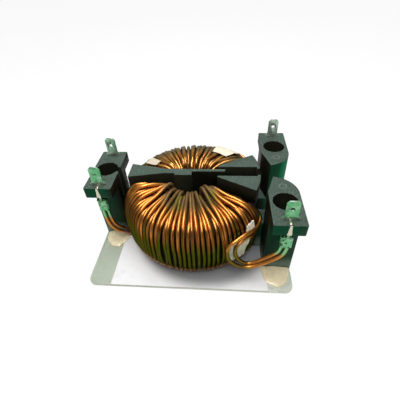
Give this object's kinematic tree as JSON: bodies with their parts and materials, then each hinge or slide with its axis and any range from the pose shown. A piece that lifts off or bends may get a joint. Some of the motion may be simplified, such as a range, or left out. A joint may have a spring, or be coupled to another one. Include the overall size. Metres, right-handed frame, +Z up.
{
  "type": "toroidal inductor",
  "caption": "Flat-lying ring inductor with twin copper windings, held by black moulded posts and dividers on a mounting plate, with blade terminals on the posts.",
  "frame": {"origin": "centre of the plate's underside", "axes": "+X towards the end with two posts, +Y to the back row, +Z up"},
  "size_m": [0.1174, 0.0978, 0.0602],
  "materials": {
    "plate_metal": "satin",
    "white_sheet": "satin",
    "core_ferrite": "matte",
    "black_moulding": "satin",
    "copper_wire": "gloss",
    "tinned_terminal": "satin",
    "cream_adhesive": "gloss",
    "white_tape": "matte"
  },
  "bodies": {
    "root": {"adhesive_front_left": "cream_adhesive", "adhesive_front_right": "cream_adhesive", "adhesive_rear_left": "cream_adhesive", "adhesive_rear_right": "cream_adhesive", "base_plate": "plate_metal", "front_right_post": "black_moulding", "front_wire_a": "copper_wire", "front_wire_b": "copper_wire", "insulating_sheet": "white_sheet", "left_divider": "black_moulding", "left_post": "black_moulding", "rear_right_post": "black_moulding", "rear_wire_a": "copper_wire", "rear_wire_b": "copper_wire", "right_divider": "black_moulding", "tape_front_right": "white_tape", "tape_rear_left": "white_tape", "tape_rear_right": "white_tape", "terminal_front_left": "tinned_terminal", "terminal_front_right": "tinned_terminal", "terminal_rear_left": "tinned_terminal", "terminal_rear_right": "tinned_terminal", "toroid_core": "core_ferrite"}
  },
  "joints": []
}
